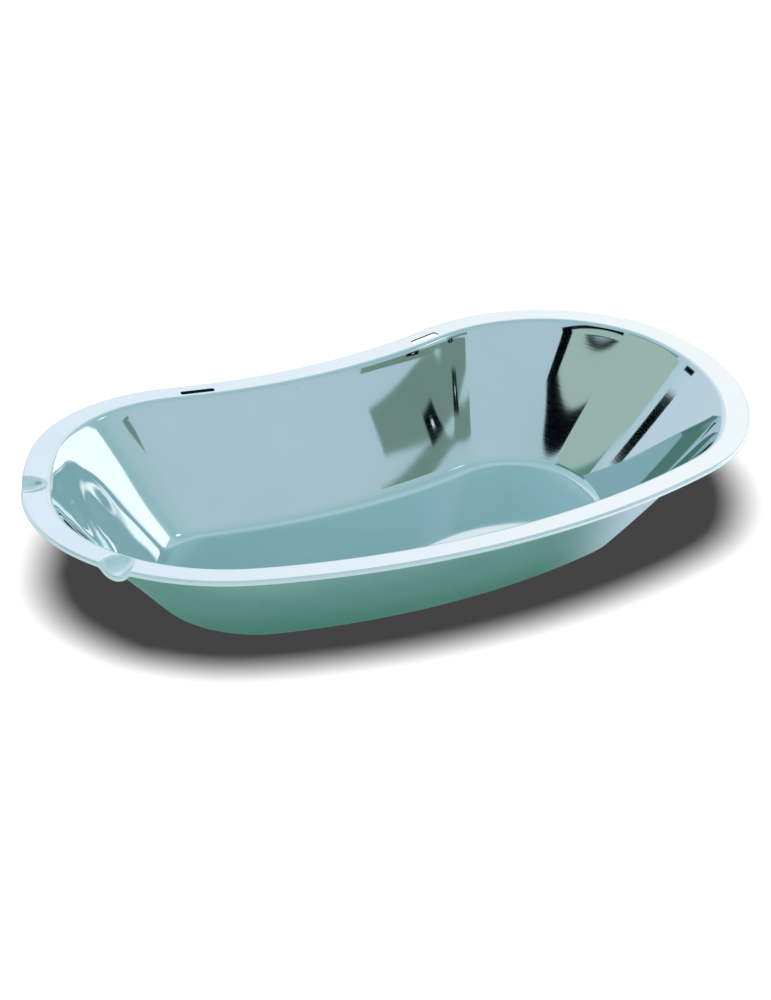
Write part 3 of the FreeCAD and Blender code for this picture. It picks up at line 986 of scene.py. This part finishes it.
@dataclass(frozen=True)
class Studio:
    """The camera, the lamp and the pale floor."""

    azimuth: float = -29.0
    elevation: float = 26.72
    distance: float = 2084.0
    target: tuple[float, float, float] = (-37.9, -55.2, 66.3)
    lens: float = 144.0
    sensor: float = 36.0
    nearest: float = 0.05        # metres, as the floor's size is
    sun_strength: float = 4.6
    sun_angle: float = 30.0
    sun_lean: float = 21.0       # towards the camera
    sun_turn: float = -6.0       # and to the left
    floor_size: float = 40.0
    floor_gap: float = 0.3
    paper: str = "#F0F0F0"
    bounce_colour: str = "#93C5BC"                       # what the steel's outside mirrors under it
    bounce_beyond: str = "#DCF2FF"                       # and past the head of the pan
    bounce_turns: tuple[float, float] = (55.0, 140.0)    # where one becomes the other, along x
    bounce_strength: float = 1.02
    bounce_share: float = 0.65                           # the rest of what it mirrors is the paper

    def camera(self) -> None:
        """Set the camera up."""
        turn, lift = math.radians(self.azimuth), math.radians(self.elevation)
        back = Vector((math.sin(turn) * math.cos(lift), -math.cos(turn) * math.cos(lift), math.sin(lift)))
        lens = bpy.data.cameras.new("camera")
        lens.lens, lens.sensor_width = self.lens, self.sensor
        lens.clip_start, lens.clip_end = self.nearest, 2 * self.floor_size
        made = bpy.data.objects.new("camera", lens)
        made.rotation_mode = "QUATERNION"
        made.location = (Vector(self.target) + back * self.distance) * MM
        made.rotation_quaternion = (-back).to_track_quat("-Z", "Y")
        bpy.context.scene.collection.objects.link(made)
        bpy.context.scene.camera = made

    def lamp(self) -> None:
        """Hang one broad lamp overhead, which the steel doesn't mirror."""
        light = bpy.data.lights.new("overhead", "SUN")
        light.energy, light.angle = self.sun_strength, math.radians(self.sun_angle)
        made = bpy.data.objects.new("overhead", light)
        made.visible_glossy = False
        turn = math.radians(self.azimuth + self.sun_turn)
        made.rotation_euler = (math.radians(self.sun_lean), 0.0, turn)
        bpy.context.scene.collection.objects.link(made)

    def floor(self) -> None:
        """Lay a plain pale floor."""
        half = self.floor_size / 2
        shape = bpy.data.meshes.new("floor")
        signs = ((-1, -1), (1, -1), (1, 1), (-1, 1))
        corners = [(x * half, y * half, -self.floor_gap * MM) for x, y in signs]
        shape.from_pydata(corners, [], [(0, 1, 2, 3)])
        shape.materials.append(self.pale_paper())
        made = bpy.data.objects.new("floor", shape)
        bpy.context.scene.collection.objects.link(made)

    def pale_paper(self) -> bpy.types.Material:
        """Make the floor's finish: uncoated paper, even and quite matt, with a glow for the steel.

        Returns:
            The new material.
        """
        made = bpy.data.materials.new("pale_paper")
        made.use_nodes = True
        tree = made.node_tree
        tree.nodes.clear()
        matt = add_node(tree, "ShaderNodeBsdfDiffuse", None, {"Color": linear(self.paper)})
        place = add_node(tree, "ShaderNodeTexCoord").outputs["Object"]
        along = add_node(tree, "ShaderNodeSeparateXYZ", None, {0: place}).outputs[0]
        start, stop = self.bounce_turns
        share = add_node(tree, "ShaderNodeMapRange", {"interpolation_type": "SMOOTHSTEP"}, {
            "Value": along, "From Min": start * MM, "From Max": stop * MM,
        }).outputs[0]
        tone = add_node(tree, "ShaderNodeMix", {"data_type": "RGBA"}, {
            0: share, 6: linear(self.bounce_colour), 7: linear(self.bounce_beyond),
        }).outputs[2]
        glow = add_node(tree, "ShaderNodeEmission", None, {
            "Color": tone, "Strength": self.bounce_strength,
        })
        share = add_node(tree, "ShaderNodeMath", {"operation": "MULTIPLY"},
                         {0: mirror_ray(tree), 1: self.bounce_share}).outputs[0]
        mixed = add_node(tree, "ShaderNodeMixShader", None,
                         {0: share, 1: matt.outputs[0], 2: glow.outputs[0]})
        add_node(tree, "ShaderNodeOutputMaterial", None, {"Surface": mixed.outputs[0]})
        made.cycles.emission_sampling = "NONE"
        return made

    def build(self) -> None:
        """Set the whole studio up."""
        self.camera()
        self.lamp()
        self.floor()
        StudioSky(facing=self.azimuth).build()
        bpy.context.scene.view_settings.view_transform = "Standard"


def main() -> None:
    """Build the studio and the pan, and report each piece."""
    logging.basicConfig(level=logging.INFO, format="%(message)s")
    Studio().build()
    shell = PanShell(
        plan=KidneyPlan(),
        grooves=(Groove(side=1), Groove(side=-1)),
        slots=(Slot("head_slot", x=80.0), Slot("tail_slot", x=-64.0, lip=1.6)),
    )
    for maker in (shell, CoreWire(shell)):
        piece = maker.build()
        LOG.info("%s: %d faces", piece.name, len(piece.data.polygons))


if __name__ == "__main__":
    main()
